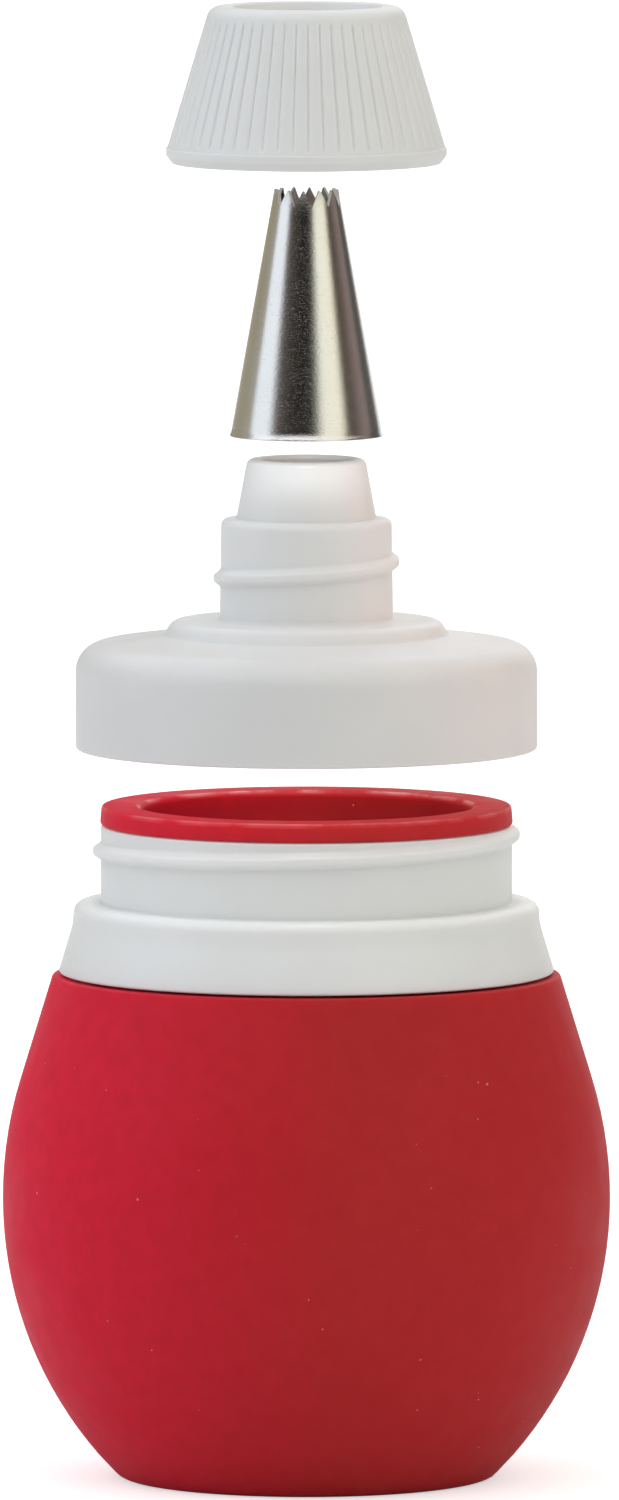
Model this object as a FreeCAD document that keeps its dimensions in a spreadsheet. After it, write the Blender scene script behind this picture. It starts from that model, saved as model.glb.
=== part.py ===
import FreeCAD, Part
import math
import os
import Sketcher

# Squeeze press for icing and soft dough: a silicone bulb, a rigid collar round its neck, a screw lid with
# a threaded spout, a steel star nozzle and a ribbed coupling nut. The parts stand one above the other on
# a common vertical axis, drawn apart in the order in which they are put together.
# Millimetres. +Z is up, the origin is the centre of the bulb's flat foot, and -Y is the front.
# The male threads are single right-handed ridges with a gap at the back. The female threads are short lugs
# that drop through that gap and then turn under the ridge.

DIMENSIONS = [
    # bulb: the belly is two arcs that meet at its widest place, then a straight taper up to the ledge
    ("belly_radius", 38.08, "widest radius of the bulb"),
    ("belly_height", 35.0, "height of the widest place"),
    ("lower_arc", 49.0, "profile radius under the belly"),
    ("upper_arc", 51.0, "profile radius over the belly"),
    ("arc_top", 50.1, "height where the upper arc turns into the taper"),
    ("ledge_radius", 31.8, "outer radius of the ledge under the collar"),
    ("ledge_height", 63.2, "height of the ledge"),
    ("ledge_inner_radius", 28.6, "inner radius under the ledge"),
    ("bulb_wall", 2.4, "silicone wall"),
    ("bulb_floor", 3.2, "silicone floor"),
    ("foot_round", 2.5, "rounding round the foot"),
    ("ledge_round", 0.5, "rounding of the ledge's edge"),
    ("bulb_neck_outer", 22.6, "outer radius of the neck inside the collar"),
    ("bulb_neck_inner", 20.6, "radius of the mouth"),
    ("neck_root_round", 2.0, "rounding between ledge and neck"),
    ("flange_under", 82.0, "height of the flange's underside"),
    ("flange_top", 84.4, "height of the flange's top"),
    ("flange_low_radius", 25.83, "outer radius at the underside"),
    ("flange_top_radius", 25.68, "outer radius at the top"),
    ("mouth_round", 0.9, "rounding of the mouth's edge"),
    ("flange_round", 0.25, "rounding of the flange's outer edge"),
    # collar
    ("collar_gap", 0.3, "gap between ledge and collar"),
    ("collar_bore", 22.85, "radius that turns on the bulb's neck"),
    ("collar_foot_radius", 31.03, "outer radius at the bottom"),
    ("collar_bend_height", 69.8, "height where the flare ends"),
    ("collar_bend_radius", 29.12, "outer radius above the flare"),
    ("collar_shoulder", 72.3, "height of the flat shoulder"),
    ("collar_round", 1.3, "rounding of the shoulder"),
    ("collar_skirt_wall", 2.1, "wall of the flared skirt"),
    ("collar_roof", 2.2, "thickness under the shoulder"),
    ("band_radius", 25.72, "radius of the threaded band"),
    ("band_top", 81.9, "top of the threaded band"),
    ("band_edge_round", 0.2, "rounding of the band's top edge"),
    ("bend_round", 8.0, "rounding of the bend above the flare"),
    # threads
    ("thread_pitch", 4.2, "rise per turn of every thread"),
    ("thread_left_angle", 180.0, "angle at which the crest heights are given"),
    ("collar_crest_radius", 26.7, "crest of the collar's ridge"),
    ("collar_crest_height", 78.7, "crest height at the left"),
    ("ridge_half_width", 1.05, "half the ridge's width at its root"),
    ("ridge_crest_half", 0.28, "half the ridge's width at its crest"),
    ("ridge_embed", 0.6, "how deep a ridge is rooted in its wall"),
    ("collar_ridge_first", 145.0, "angle of the ridge's low end"),
    ("collar_ridge_last", 380.0, "angle of the ridge's high end"),
    ("ridge_run_out", 20.0, "angle over which a ridge's ends fade"),
    # lid, heights above its own bottom edge
    ("lid_rest_height", 91.5, "height of the lid's bottom edge"),
    ("lid_radius", 28.85, "outer radius of the skirt"),
    ("lid_inner", 27.3, "inner radius of the skirt"),
    ("dome_edge_height", 12.9, "height of the dome's edge before rounding"),
    ("dome_round", 3.6, "rounding of the dome's edge"),
    ("lid_edge_round", 0.45, "rounding of the skirt's bottom edge"),
    ("platform_radius", 17.8, "radius of the raised platform at its foot"),
    ("platform_top_radius", 16.7, "radius of the platform at its top, before rounding"),
    ("platform_foot", 14.35, "height where the platform leaves the dome"),
    ("platform_top", 16.15, "height of the platform"),
    ("platform_round", 1.5, "rounding of the platform's edge"),
    ("platform_foot_round", 0.5, "fillet at the platform's foot"),
    ("ceiling_height", 11.7, "height of the face that presses on the flange"),
    ("ceiling_inner", 24.0, "where the ceiling starts to rise"),
    ("platform_wall", 1.9, "thickness of the platform"),
    ("platform_hollow_radius", 15.5, "radius of the hollow under the platform"),
    ("platform_hollow_foot", 12.9, "height where that hollow starts"),
    ("spout_radius", 10.66, "outer radius of the spout neck under its shoulder"),
    ("spout_foot_radius", 10.84, "outer radius of the spout neck at its foot"),
    ("spout_bore", 8.9, "inner radius of the spout neck"),
    ("spout_foot_round", 0.6, "fillet at the spout's foot"),
    ("spout_shoulder", 28.9, "height of the spout's shoulder"),
    ("spout_shoulder_round", 0.9, "rounding of the spout's shoulder"),
    ("cone_low_radius", 8.76, "outer radius at the cone's foot"),
    ("cone_top_radius", 7.36, "outer radius at the cone's top"),
    ("cone_top", 36.35, "height of the spout's mouth"),
    ("cone_top_round", 0.9, "rounding of the spout's mouth"),
    ("cone_bore_low", 7.0, "bore at the cone's foot"),
    ("cone_bore_top", 5.55, "bore at the mouth"),
    ("bore_step", 1.7, "how far under the shoulder the bore narrows"),
    ("spout_crest_radius", 11.62, "crest of the spout's ridge"),
    ("spout_crest_height", 21.4, "crest height at the left"),
    ("spout_ridge_first", 145.0, "angle of the ridge's low end"),
    ("spout_ridge_last", 385.0, "angle of the ridge's high end"),
    ("lid_lug_crest", 26.2, "radius of the lug's crest"),
    ("lid_lug_height", 6.7, "height of the lug at its middle"),
    ("lid_lug_first", 37.5, "angle of the lug's low end"),
    ("lid_lug_last", 127.5, "angle of the lug's high end"),
    ("lug_half_width", 0.9, "half the lug's width at its root"),
    ("lug_crest_half", 0.25, "half the lug's width at its crest"),
    # nozzle, heights above its own base
    ("nozzle_rest_height", 130.68, "height of the nozzle's base"),
    ("nozzle_length", 30.92, "overall length"),
    ("nozzle_base_radius", 9.6, "outer radius at the base"),
    ("nozzle_flare_height", 1.1, "height of the slight flare at the base"),
    ("nozzle_flare_radius", 9.31, "outer radius above the flare"),
    ("nozzle_tip_radius", 4.0, "outer radius at the tips"),
    ("nozzle_wall", 0.45, "sheet thickness"),
    ("tooth_count", 12, "number of teeth"),
    ("tooth_depth", 2.1, "depth of the cuts between teeth"),
    ("tooth_first_angle", 279.4, "angle of the first cut"),
    ("tooth_tip_flat", 0.12, "width left at each tooth's tip"),
    ("tooth_cut_over", 0.9, "how far the cut goes on over the tips"),
    # coupling nut, heights above its own bottom rim
    ("nut_rest_height", 164.8, "height of the nut's bottom rim"),
    ("nut_height", 19.65, "overall height"),
    ("nut_rim_radius", 16.75, "outer radius of the bottom face"),
    ("nut_rim_inner", 15.94, "inner radius of the bottom face"),
    ("nut_band_low", 1.05, "height where the plain band starts"),
    ("nut_band_top", 2.0, "height where the ribbed cone starts"),
    ("nut_band_radius", 17.52, "radius of the plain band"),
    ("nut_cone_low", 17.35, "radius of the cone above the band"),
    ("nut_cone_top", 12.05, "radius of the cone at the top, before rounding"),
    ("nut_top_round", 1.7, "rounding of the top edge"),
    ("nut_rim_round", 0.35, "rounding of the bottom rim's edge"),
    ("nut_hole_top", 9.4, "radius of the hole at the top"),
    ("nut_waist_radius", 8.48, "narrowest radius of the hole"),
    ("nut_waist_height", 17.9, "height of the narrowest place"),
    ("nut_roof_under", 17.2, "height of the roof's underside"),
    ("nut_sleeve_inner", 11.85, "inner radius of the threaded sleeve"),
    ("nut_sleeve_outer", 13.15, "outer radius of the threaded sleeve"),
    ("nut_sleeve_low", 0.5, "height of the sleeve's bottom edge"),
    ("nut_skirt_wall", 1.35, "wall of the conical skirt"),
    ("nut_hollow_top", 9.0, "height of the hollow between sleeve and skirt"),
    ("rib_count", 55, "number of grip ribs"),
    ("rib_groove_depth", 0.28, "depth of the grooves between ribs"),
    ("rib_groove_half", 0.36, "half the width of a groove"),
    ("rib_low", 2.3, "height where the grooves start"),
    ("rib_high", 18.2, "height where the grooves end"),
    ("rib_first_angle", 270.8, "angle of the first groove"),
    ("nut_lug_crest", 11.1, "radius of the lug's crest"),
    ("nut_lug_height", 5.2, "height of the lug at its middle"),
    ("nut_lug_first", 45.0, "angle of the lug's low end"),
    ("nut_lug_last", 135.0, "angle of the lug's high end"),
]
FULL_TURN = 360
FACING_OUT = 90  # degrees from an upright sketch plane that holds the radius to one that faces along it
SECTION_STEP = 14.0  # degrees between the sections of a thread
FAINT_HEIGHT = 0.12  # height of a thread's ends, as a part of its full height
FAINT_WIDTH = 0.43  # width of a thread's ends, as a part of its full width
EDGE_TOLERANCE = 0.02  # how near an edge has to be to the place where it is looked for

doc = FreeCAD.newDocument("SqueezePress")
sheet = doc.addObject("Spreadsheet::Sheet", "Dimensions")
for row, (alias, amount, meaning) in enumerate(DIMENSIONS, start=1):
    sheet.set(f"A{row}", meaning)
    sheet.set(f"B{row}", str(amount))
    sheet.setAlias(f"B{row}", alias)
doc.recompute()


class Size:
    """A number together with the sheet expression that gives it."""

    def __init__(self, number, text):
        self.number = number
        self.text = text

    def __add__(self, other):
        other = as_size(other)
        return Size(self.number + other.number, f"({self.text} + {other.text})")

    def __sub__(self, other):
        other = as_size(other)
        return Size(self.number - other.number, f"({self.text} - {other.text})")

    def __mul__(self, other):
        other = as_size(other)
        return Size(self.number * other.number, f"({self.text} * {other.text})")

    def __truediv__(self, other):
        other = as_size(other)
        return Size(self.number / other.number, f"({self.text} / {other.text})")

    def root(self):
        return Size(math.sqrt(self.number), f"sqrt({self.text})")


def as_size(value):
    return value if isinstance(value, Size) else Size(float(value), repr(float(value)))


def dim(alias):
    return Size(float(sheet.get(alias)), f"Dimensions.{alias}")


ZERO = as_size(0)


class Corner:
    """A corner of an outline. The way to the next corner is straight, or an arc that bends left or right."""

    def __init__(self, across, up, arc=None, bend="left"):
        self.across = as_size(across)
        self.up = as_size(up)
        self.arc = arc
        self.bend = bend


def origin_feature(body, role):
    for feature in body.Origin.OriginFeatures:
        if feature.Role == role:
            return feature
    raise ValueError(role)


def arc_between(start, end, radius, bend):
    """The shorter arc from start to end. Arcs run counter-clockwise, so a right bend is stored backwards."""
    chord = end - start
    side = 1 if bend == "left" else -1
    normal = FreeCAD.Vector(-chord.y, chord.x, 0).normalize()
    height = math.sqrt(max(radius ** 2 - (chord.Length / 2) ** 2, 0))
    centre = start + chord * 0.5 + normal * (side * height)
    first, last = (start, end) if bend == "left" else (end, start)
    first_angle = math.atan2(first.y - centre.y, first.x - centre.x)
    last_angle = math.atan2(last.y - centre.y, last.x - centre.x)
    circle = Part.Circle(centre, FreeCAD.Vector(0, 0, 1), radius)
    return Part.ArcOfCircle(circle, first_angle, last_angle)


def outline(body, name, corners, angle=None, lift=None, plane="XZ_Plane"):
    """Closed sketch, every corner and arc bound to the sheet. It can be turned about the axis and lifted."""
    sketch = body.newObject("Sketcher::SketchObject", name)
    sketch.AttachmentSupport = (origin_feature(body, plane), [""])
    sketch.MapMode = "FlatFace"
    if angle is not None:
        upright = FreeCAD.Vector(0, 1, 0) if plane == "XZ_Plane" else FreeCAD.Vector(0, 0, 1)
        turn = FreeCAD.Rotation(upright, angle.number)
        sketch.AttachmentOffset = FreeCAD.Placement(FreeCAD.Vector(0, 0, 0), turn)
        sketch.setExpression("AttachmentOffset.Rotation.Angle", angle.text)
    if lift is not None:
        along = "AttachmentOffset.Base.y" if plane == "XZ_Plane" else "AttachmentOffset.Base.z"
        sketch.setExpression(along, lift.text)
    points = [FreeCAD.Vector(c.across.number, c.up.number, 0) for c in corners]
    ends = []
    for index, corner in enumerate(corners):
        start = points[index]
        end = points[(index + 1) % len(corners)]
        if corner.arc is None:
            sketch.addGeometry(Part.LineSegment(start, end), False)
            ends.append((1, 2))
        else:
            sketch.addGeometry(arc_between(start, end, corner.arc.number, corner.bend), False)
            ends.append((1, 2) if corner.bend == "left" else (2, 1))
    constraints = []
    bindings = []
    for index, corner in enumerate(corners):
        previous = (index - 1) % len(corners)
        own_end = ends[index][0]
        constraints.append(Sketcher.Constraint("Coincident", previous, ends[previous][1], index, own_end))
        for kind, axis, size in (("DistanceX", -2, corner.across), ("DistanceY", -1, corner.up)):
            if size.number == 0:
                constraints.append(Sketcher.Constraint("PointOnObject", index, own_end, axis))
            else:
                bindings.append((len(constraints), size.text))
                constraints.append(Sketcher.Constraint(kind, -1, 1, index, own_end, size.number))
        if corner.arc is not None:
            bindings.append((len(constraints), corner.arc.text))
            constraints.append(Sketcher.Constraint("Radius", index, corner.arc.number))
    sketch.addConstraint(constraints)
    for place, text in bindings:
        sketch.setExpression(f"Constraints[{place}]", text)
    return sketch


def new_body(name, rest_height=None):
    body = doc.addObject("PartDesign::Body", name)
    body.Label = name
    if rest_height is not None:
        body.setExpression("Placement.Base.z", rest_height.text)
    return body


def turned(body, name, corners, kind="PartDesign::Revolution"):
    """Full turn of an outline about the vertical axis."""
    sketch = outline(body, name + "_outline", corners)
    feature = body.newObject(kind, name)
    feature.Profile = sketch
    feature.ReferenceAxis = (sketch, ["V_Axis"])
    feature.Angle = FULL_TURN
    doc.recompute()
    return feature


def rounded(body, name, size, places):
    """Rounds the circular edges of the body's tip that lie at the given (radius, height) places."""
    base = body.Tip
    names = []
    for number, edge in enumerate(base.Shape.Edges, start=1):
        if not isinstance(edge.Curve, Part.Circle):
            continue
        for radius, height in places:
            close_radius = abs(edge.Curve.Radius - as_size(radius).number) < EDGE_TOLERANCE
            close_height = abs(edge.Curve.Center.z - as_size(height).number) < EDGE_TOLERANCE
            if close_radius and close_height:
                names.append(f"Edge{number}")
    if len(names) != len(places):
        raise ValueError(f"{name}: {len(names)} edges found for {len(places)} places")
    fillet = body.newObject("PartDesign::Fillet", name)
    fillet.Base = (base, names)
    fillet.setExpression("Radius", size.text)
    doc.recompute()


def helical_ridge(body, name, wall, crest, height_at_left, first, last, half_root, half_crest):
    """Thread ridge lofted up a right-handed helix, outside or inside a wall, with faded ends."""
    pitch = dim("thread_pitch")
    run_out = dim("ridge_run_out")
    embed = dim("ridge_embed")
    outward = crest.number > wall.number
    root = wall - embed if outward else wall + embed
    span = last - first
    count = math.ceil((span.number - 2 * run_out.number) / SECTION_STEP)
    steps = [(first, FAINT_HEIGHT, FAINT_WIDTH)]
    for index in range(count + 1):
        steps.append((first + run_out + (span - run_out * 2) * (index / count), 1.0, 1.0))
    steps.append((last, FAINT_HEIGHT, FAINT_WIDTH))
    sections = []
    for index, (angle, high, broad) in enumerate(steps):
        tip = wall + (crest - wall) * high
        wide = half_root * broad
        narrow = half_crest * broad
        corners = [
            Corner(root, ZERO - wide),
            Corner(tip, ZERO - narrow),
            Corner(tip, narrow),
            Corner(root, wide),
        ]
        lift = height_at_left + (angle - dim("thread_left_angle")) * pitch / FULL_TURN
        sections.append(outline(body, f"{name}_section_{index}", corners, angle, lift))
    doc.recompute()
    loft = body.newObject("PartDesign::AdditiveLoft", name)
    loft.Profile = sections[0]
    loft.Sections = sections[1:]
    loft.Ruled = False
    loft.Closed = False
    doc.recompute()


def squeeze_bulb():
    body = new_body("squeeze_bulb")
    belly = dim("belly_radius")
    middle = dim("belly_height")
    wall = dim("bulb_wall")
    floor = dim("bulb_floor")
    lower = dim("lower_arc")
    upper = dim("upper_arc")
    arc_top = dim("arc_top")

    def lower_radius(height, inset):
        arc = lower - inset
        return belly - lower + (arc * arc - (middle - height) * (middle - height)).root()

    def upper_radius(height, inset):
        arc = upper - inset
        return belly - upper + (arc * arc - (height - middle) * (height - middle)).root()

    ledge = dim("ledge_height")
    neck_in = dim("bulb_neck_inner")
    neck_out = dim("bulb_neck_outer")
    under = dim("flange_under")
    top = dim("flange_top")
    turned(body, "bulb_wall_turned", [
        Corner(ZERO, ZERO),
        Corner(lower_radius(ZERO, ZERO), ZERO, lower),
        Corner(belly, middle, upper),
        Corner(upper_radius(arc_top, ZERO), arc_top),
        Corner(dim("ledge_radius"), ledge),
        Corner(neck_out, ledge),
        Corner(neck_out, under),
        Corner(dim("flange_low_radius"), under),
        Corner(dim("flange_top_radius"), top),
        Corner(neck_in, top),
        Corner(neck_in, ledge - wall),
        Corner(dim("ledge_inner_radius"), ledge - wall),
        Corner(upper_radius(arc_top, wall), arc_top, upper - wall, "right"),
        Corner(belly - wall, middle, lower - wall, "right"),
        Corner(lower_radius(floor, wall), floor),
        Corner(ZERO, floor),
    ])
    rounded(body, "foot_rounding", dim("foot_round"), [(lower_radius(ZERO, ZERO), ZERO)])
    rounded(body, "ledge_rounding", dim("ledge_round"), [(dim("ledge_radius"), ledge)])
    rounded(body, "neck_root_rounding", dim("neck_root_round"), [
        (neck_out, ledge),
        (neck_in, ledge - wall),
        (lower_radius(floor, wall), floor),
    ])
    rounded(body, "mouth_rounding", dim("mouth_round"), [(neck_in, top)])
    rounded(body, "flange_rounding", dim("flange_round"), [
        (dim("flange_top_radius"), top),
        (dim("flange_low_radius"), under),
    ])
    return body


def neck_collar():
    body = new_body("neck_collar")
    bottom = dim("ledge_height") + dim("collar_gap")
    wall = dim("collar_skirt_wall")
    shoulder = dim("collar_shoulder")
    roof = shoulder - dim("collar_roof")
    bend = dim("collar_bend_radius")
    band = dim("band_radius")
    bore = dim("collar_bore")
    turned(body, "collar_turned", [
        Corner(dim("collar_foot_radius") - wall, bottom),
        Corner(dim("collar_foot_radius"), bottom),
        Corner(bend, dim("collar_bend_height")),
        Corner(bend, shoulder),
        Corner(band, shoulder),
        Corner(band, dim("band_top")),
        Corner(bore, dim("band_top")),
        Corner(bore, bottom + wall),
        Corner(bore + wall, bottom + wall),
        Corner(bore + wall, roof),
        Corner(bend - wall, roof),
        Corner(bend - wall, dim("collar_bend_height")),
    ])
    rounded(body, "shoulder_rounding", dim("collar_round"), [(bend, shoulder)])
    rounded(body, "bend_rounding", dim("bend_round"), [(bend, dim("collar_bend_height"))])
    rounded(body, "band_edge_rounding", dim("band_edge_round"), [
        (band, dim("band_top")),
        (bore, dim("band_top")),
        (dim("collar_foot_radius"), bottom),
    ])
    helical_ridge(
        body, "collar_thread", band, dim("collar_crest_radius"), dim("collar_crest_height"),
        dim("collar_ridge_first"), dim("collar_ridge_last"),
        dim("ridge_half_width"), dim("ridge_crest_half"),
    )
    return body


def spout_lid():
    body = new_body("spout_lid", dim("lid_rest_height"))
    outer = dim("lid_radius")
    inner = dim("lid_inner")
    edge = dim("dome_edge_height")
    platform = dim("platform_radius")
    platform_top = dim("platform_top_radius")
    hollow = dim("platform_hollow_radius")
    foot = dim("platform_foot")
    top = dim("platform_top")
    wall = dim("platform_wall")
    spout = dim("spout_radius")
    spout_foot = dim("spout_foot_radius")
    shoulder = dim("spout_shoulder")
    ceiling = dim("ceiling_height")
    bore = dim("spout_bore")
    turned(body, "lid_turned", [
        Corner(inner, ZERO),
        Corner(outer, ZERO),
        Corner(outer, edge),
        Corner(platform, foot),
        Corner(platform_top, top),
        Corner(spout_foot, top),
        Corner(spout, shoulder),
        Corner(dim("cone_low_radius"), shoulder),
        Corner(dim("cone_top_radius"), dim("cone_top")),
        Corner(dim("cone_bore_top"), dim("cone_top")),
        Corner(dim("cone_bore_low"), shoulder),
        Corner(bore, shoulder - dim("bore_step")),
        Corner(bore, top - wall),
        Corner(hollow, top - wall),
        Corner(hollow, dim("platform_hollow_foot")),
        Corner(dim("ceiling_inner"), ceiling),
        Corner(inner, ceiling),
    ])
    rounded(body, "dome_rounding", dim("dome_round"), [(outer, edge)])
    rounded(body, "platform_rounding", dim("platform_round"), [(platform_top, top)])
    rounded(body, "platform_foot_rounding", dim("platform_foot_round"), [(platform, foot)])
    rounded(body, "spout_foot_rounding", dim("spout_foot_round"), [(spout_foot, top)])
    rounded(body, "cone_top_rounding", dim("cone_top_round"), [(dim("cone_top_radius"), dim("cone_top"))])
    rounded(body, "spout_shoulder_rounding", dim("spout_shoulder_round"), [(spout, shoulder)])
    rounded(body, "lid_edge_rounding", dim("lid_edge_round"), [(outer, ZERO), (inner, ZERO)])
    helical_ridge(
        body, "spout_thread", spout, dim("spout_crest_radius"), dim("spout_crest_height"),
        dim("spout_ridge_first"), dim("spout_ridge_last"),
        dim("ridge_half_width"), dim("ridge_crest_half"),
    )
    middle = (dim("lid_lug_first") + dim("lid_lug_last")) / 2
    rise = (dim("thread_left_angle") - middle) * dim("thread_pitch") / FULL_TURN
    helical_ridge(
        body, "lid_lug", inner, dim("lid_lug_crest"), dim("lid_lug_height") + rise,
        dim("lid_lug_first"), dim("lid_lug_last"), dim("lug_half_width"), dim("lug_crest_half"),
    )
    return body


def star_nozzle():
    body = new_body("star_nozzle", dim("nozzle_rest_height"))
    wall = dim("nozzle_wall")
    base = dim("nozzle_base_radius")
    flare = dim("nozzle_flare_radius")
    tip = dim("nozzle_tip_radius")
    length = dim("nozzle_length")
    turned(body, "nozzle_turned", [
        Corner(base - wall, ZERO),
        Corner(base, ZERO),
        Corner(flare, dim("nozzle_flare_height")),
        Corner(tip, length),
        Corner(tip - wall, length),
        Corner(flare - wall, dim("nozzle_flare_height")),
    ])
    half = tip * (math.pi / dim("tooth_count").number) - dim("tooth_tip_flat") / 2
    above = dim("tooth_cut_over")
    cut = outline(body, "tooth_cut_outline", [
        Corner(ZERO, length - dim("tooth_depth")),
        Corner(half, length),
        Corner(half, length + above),
        Corner(ZERO - half, length + above),
        Corner(ZERO - half, length),
    ], dim("tooth_first_angle") + FACING_OUT)
    pocket = body.newObject("PartDesign::Pocket", "tooth_cut")
    pocket.Profile = cut
    pocket.setExpression("Length", dim("nozzle_base_radius").text)
    before = body.Shape.Volume
    doc.recompute()
    if pocket.Shape.Volume >= before:
        raise ValueError("the tooth cut removes nothing")
    pattern = body.newObject("PartDesign::PolarPattern", "teeth")
    pattern.Originals = [pocket]
    pattern.Axis = (origin_feature(body, "Z_Axis"), [""])
    pattern.Angle = FULL_TURN
    pattern.setExpression("Occurrences", dim("tooth_count").text)
    body.Tip = pattern
    doc.recompute()
    return body


def coupling_nut():
    body = new_body("coupling_nut", dim("nut_rest_height"))
    wall = dim("nut_skirt_wall")
    low = dim("nut_band_top")
    height = dim("nut_height")
    cone_low = dim("nut_cone_low")
    cone_top = dim("nut_cone_top")
    slope = (cone_low - cone_top) / (height - low)
    waist = dim("nut_waist_radius")
    under = dim("nut_roof_under")
    taper = (dim("nozzle_flare_radius") - dim("nozzle_tip_radius")) / (
        dim("nozzle_length") - dim("nozzle_flare_height"))
    sleeve_in = dim("nut_sleeve_inner")
    sleeve_out = dim("nut_sleeve_outer")
    hollow = dim("nut_hollow_top")
    turned(body, "nut_turned", [
        Corner(dim("nut_rim_radius"), ZERO),
        Corner(dim("nut_band_radius"), dim("nut_band_low")),
        Corner(dim("nut_band_radius"), low),
        Corner(cone_low, low),
        Corner(cone_top, height),
        Corner(dim("nut_hole_top"), height),
        Corner(waist, dim("nut_waist_height")),
        Corner(waist + (dim("nut_waist_height") - under) * taper, under),
        Corner(sleeve_in, under),
        Corner(sleeve_in, dim("nut_sleeve_low")),
        Corner(sleeve_out, dim("nut_sleeve_low")),
        Corner(sleeve_out, hollow),
        Corner(cone_low - (hollow - low) * slope - wall, hollow),
        Corner(cone_low - wall, low),
        Corner(dim("nut_rim_inner"), ZERO),
    ])
    rounded(body, "nut_top_rounding", dim("nut_top_round"), [(cone_top, height)])
    rounded(body, "nut_rim_rounding", dim("nut_rim_round"), [
        (dim("nut_rim_radius"), ZERO),
        (dim("nut_band_radius"), dim("nut_band_low")),
        (dim("nut_hole_top"), height),
    ])
    middle = (dim("nut_lug_first") + dim("nut_lug_last")) / 2
    rise = (dim("thread_left_angle") - middle) * dim("thread_pitch") / FULL_TURN
    helical_ridge(
        body, "nut_lug", sleeve_in, dim("nut_lug_crest"), dim("nut_lug_height") + rise,
        dim("nut_lug_first"), dim("nut_lug_last"), dim("lug_half_width"), dim("lug_crest_half"),
    )
    grip_grooves(body, cone_low, slope)
    return body


def grip_grooves(body, cone_low, slope):
    """Shallow V grooves up the cone, which leave the grip ribs between them."""
    depth = dim("rib_groove_depth")
    half = dim("rib_groove_half")
    sections = []
    for label, height in (("low", dim("rib_low")), ("high", dim("rib_high"))):
        surface = cone_low - (height - dim("nut_band_top")) * slope
        sections.append(outline(body, f"groove_{label}", [
            Corner(surface - depth, ZERO),
            Corner(surface + depth, ZERO - half * 2),
            Corner(surface + depth, half * 2),
        ], dim("rib_first_angle"), height, "XY_Plane"))
    doc.recompute()
    groove = body.newObject("PartDesign::SubtractiveLoft", "grip_groove")
    groove.Profile = sections[0]
    groove.Sections = sections[1:]
    before = body.Shape.Volume
    doc.recompute()
    if groove.Shape.Volume >= before:
        raise ValueError("the grip groove removes nothing")
    pattern = body.newObject("PartDesign::PolarPattern", "grip_ribs")
    pattern.Originals = [groove]
    pattern.Axis = (origin_feature(body, "Z_Axis"), [""])
    pattern.Angle = FULL_TURN
    pattern.setExpression("Occurrences", dim("rib_count").text)
    body.Tip = pattern
    doc.recompute()


def check(bodies):
    """Stops if any object failed or any part is not one valid solid."""
    for item in doc.Objects:
        if "Invalid" in item.State or "Error" in item.State:
            raise ValueError(f"{item.Name} failed: {item.State}")
    for body in bodies:
        shape = body.Shape
        if shape.isNull() or not shape.isValid() or len(shape.Solids) != 1:
            raise ValueError(f"{body.Label} is not one valid solid")


parts = [squeeze_bulb(), neck_collar(), spout_lid(), star_nozzle(), coupling_nut()]
doc.recompute()
check(parts)
os.makedirs("parts", exist_ok=True)
for part in parts:
    part.Shape.exportStep(f"parts/{part.Label}.step")
    box = part.Shape.BoundBox
    size = f"{box.XLength:.2f} x {box.YLength:.2f} x {box.ZLength:.2f} mm from z {box.ZMin:.2f}"
    print(f"{part.Label}: {size}, {part.Shape.Volume / 1000:.2f} cm3")
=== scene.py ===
import math

import bpy
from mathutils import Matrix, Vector, noise


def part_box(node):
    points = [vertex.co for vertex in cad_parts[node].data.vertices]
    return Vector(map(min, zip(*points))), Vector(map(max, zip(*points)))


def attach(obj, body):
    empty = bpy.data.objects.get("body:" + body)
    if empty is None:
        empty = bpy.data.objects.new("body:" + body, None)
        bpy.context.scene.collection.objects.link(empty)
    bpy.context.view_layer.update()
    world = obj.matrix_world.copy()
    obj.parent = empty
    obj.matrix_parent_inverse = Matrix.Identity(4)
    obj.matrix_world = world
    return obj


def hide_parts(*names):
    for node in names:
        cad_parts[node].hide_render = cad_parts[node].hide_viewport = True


# Squeeze cookie press, drawn apart on one axis: silicone bulb, threaded collar, dome lid with spout,
# steel star nozzle and ribbed coupling nut. Every piece is turned about the Z axis from its own outline.
# Outlines are in millimetres, (radius, height). Heights count from the piece's own lowest point, and in
# the bulb and the collar from the foot that the bulb stands on.

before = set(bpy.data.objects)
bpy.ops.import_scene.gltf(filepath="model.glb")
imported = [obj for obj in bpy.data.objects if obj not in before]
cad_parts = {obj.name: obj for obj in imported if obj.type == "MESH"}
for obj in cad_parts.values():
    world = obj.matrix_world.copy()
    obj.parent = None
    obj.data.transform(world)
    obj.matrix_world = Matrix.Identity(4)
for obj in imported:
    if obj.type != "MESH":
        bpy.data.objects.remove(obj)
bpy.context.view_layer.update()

MM = 0.001
FRONT = 270.0  # degrees about Z of the side that faces the camera
THREAD_PITCH = 4.2
RIDGE_HALF = 1.25  # half the width of a male ridge at its foot
LUG_HALF = 0.95  # half the width of a female lug at its foot
CREST_SLOPE = 1.25  # above 1 it leaves the ridge a flat crest
ARC_STEP = math.radians(9)
SHARP_EDGE = math.radians(38)
ON_WALL = 0.01  # how far from a wall a point may lie and still take the wall's relief

# ---------------------------------------------------------------- outlines


def arc(centre, radius, first, last, step=ARC_STEP):
    """Points of a circular arc, angles in degrees."""
    count = max(2, math.ceil(abs(math.radians(last - first)) / step))
    angles = [math.radians(first + (last - first) * i / count) for i in range(count + 1)]
    return [(centre[0] + radius * math.cos(a), centre[1] + radius * math.sin(a)) for a in angles]


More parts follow.
